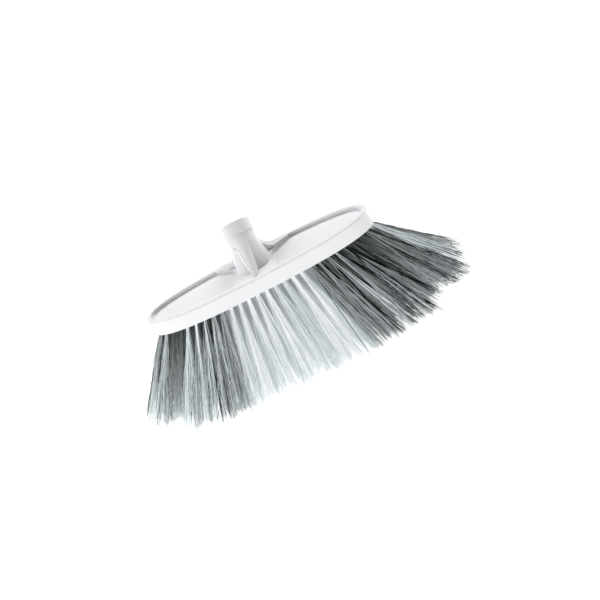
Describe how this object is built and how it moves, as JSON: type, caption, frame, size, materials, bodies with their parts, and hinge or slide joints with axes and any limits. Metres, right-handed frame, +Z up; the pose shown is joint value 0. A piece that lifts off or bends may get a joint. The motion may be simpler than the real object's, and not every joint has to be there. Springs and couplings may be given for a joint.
{
  "type": "broom head",
  "caption": "Floor broom head: an oval moulded block with a tilted handle socket on top and a flared fan of grey and white bristle tufts below.",
  "frame": {"origin": "in the level plane of the trimmed bristle tips, below the middle of the block", "axes": "+X along the block, +Y to the back, the side that the handle socket leans to, +Z up"},
  "size_m": [0.3646, 0.1372, 0.1515],
  "materials": {
    "white_plastic": "satin moulded polypropylene",
    "grey_bristle": "crimped filament, split at the tips",
    "white_bristle": "crimped filament, split at the tips",
    "anchor_steel": "plain cut strip"
  },
  "bodies": {
    "head": {"block": "white_plastic", "row_1_anchors": "anchor_steel", "row_1_roots_left": "grey_bristle", "row_1_roots_middle": "white_bristle", "row_1_roots_right": "grey_bristle", "row_2_anchors": "anchor_steel", "row_2_roots_left": "grey_bristle", "row_2_roots_middle": "white_bristle", "row_2_roots_right": "grey_bristle", "row_3_anchors": "anchor_steel", "row_3_roots_left": "grey_bristle", "row_3_roots_middle": "white_bristle", "row_3_roots_right": "grey_bristle", "row_4_anchors": "anchor_steel", "row_4_roots_left": "grey_bristle", "row_4_roots_middle": "white_bristle", "row_4_roots_right": "grey_bristle", "row_5_anchors": "anchor_steel", "row_5_roots_left": "grey_bristle", "row_5_roots_middle": "white_bristle", "row_5_roots_right": "grey_bristle"},
    "row_1": {"row_1_bristles_left": "grey_bristle", "row_1_bristles_middle": "white_bristle", "row_1_bristles_right": "grey_bristle"},
    "row_2": {"row_2_bristles_left": "grey_bristle", "row_2_bristles_middle": "white_bristle", "row_2_bristles_right": "grey_bristle"},
    "row_3": {"row_3_bristles_left": "grey_bristle", "row_3_bristles_middle": "white_bristle", "row_3_bristles_right": "grey_bristle"},
    "row_4": {"row_4_bristles_left": "grey_bristle", "row_4_bristles_middle": "white_bristle", "row_4_bristles_right": "grey_bristle"},
    "row_5": {"row_5_bristles_left": "grey_bristle", "row_5_bristles_middle": "white_bristle", "row_5_bristles_right": "grey_bristle"}
  },
  "joints": [
    {"name": "row_1_flex", "type": "hinge", "parent": "head", "child": "row_1", "pos_m": [0, -0.017, 0.08845], "axis": [1, 0, 0], "range_deg": [-20, 20], "stiffness_Nm_per_rad": 0.6},
    {"name": "row_2_flex", "type": "hinge", "parent": "head", "child": "row_2", "pos_m": [0, -0.0085, 0.08845], "axis": [1, 0, 0], "range_deg": [-20, 20], "stiffness_Nm_per_rad": 0.6},
    {"name": "row_3_flex", "type": "hinge", "parent": "head", "child": "row_3", "pos_m": [0, 0, 0.08845], "axis": [1, 0, 0], "range_deg": [-20, 20], "stiffness_Nm_per_rad": 0.6},
    {"name": "row_4_flex", "type": "hinge", "parent": "head", "child": "row_4", "pos_m": [0, 0.0085, 0.08845], "axis": [1, 0, 0], "range_deg": [-20, 20], "stiffness_Nm_per_rad": 0.6},
    {"name": "row_5_flex", "type": "hinge", "parent": "head", "child": "row_5", "pos_m": [0, 0.017, 0.08845], "axis": [1, 0, 0], "range_deg": [-20, 20], "stiffness_Nm_per_rad": 0.6}
  ],
  "couplings": [
    {"joint": "row_1_flex", "follows": "row_3_flex", "ratio": 1},
    {"joint": "row_2_flex", "follows": "row_3_flex", "ratio": 1},
    {"joint": "row_4_flex", "follows": "row_3_flex", "ratio": 1},
    {"joint": "row_5_flex", "follows": "row_3_flex", "ratio": 1}
  ]
}
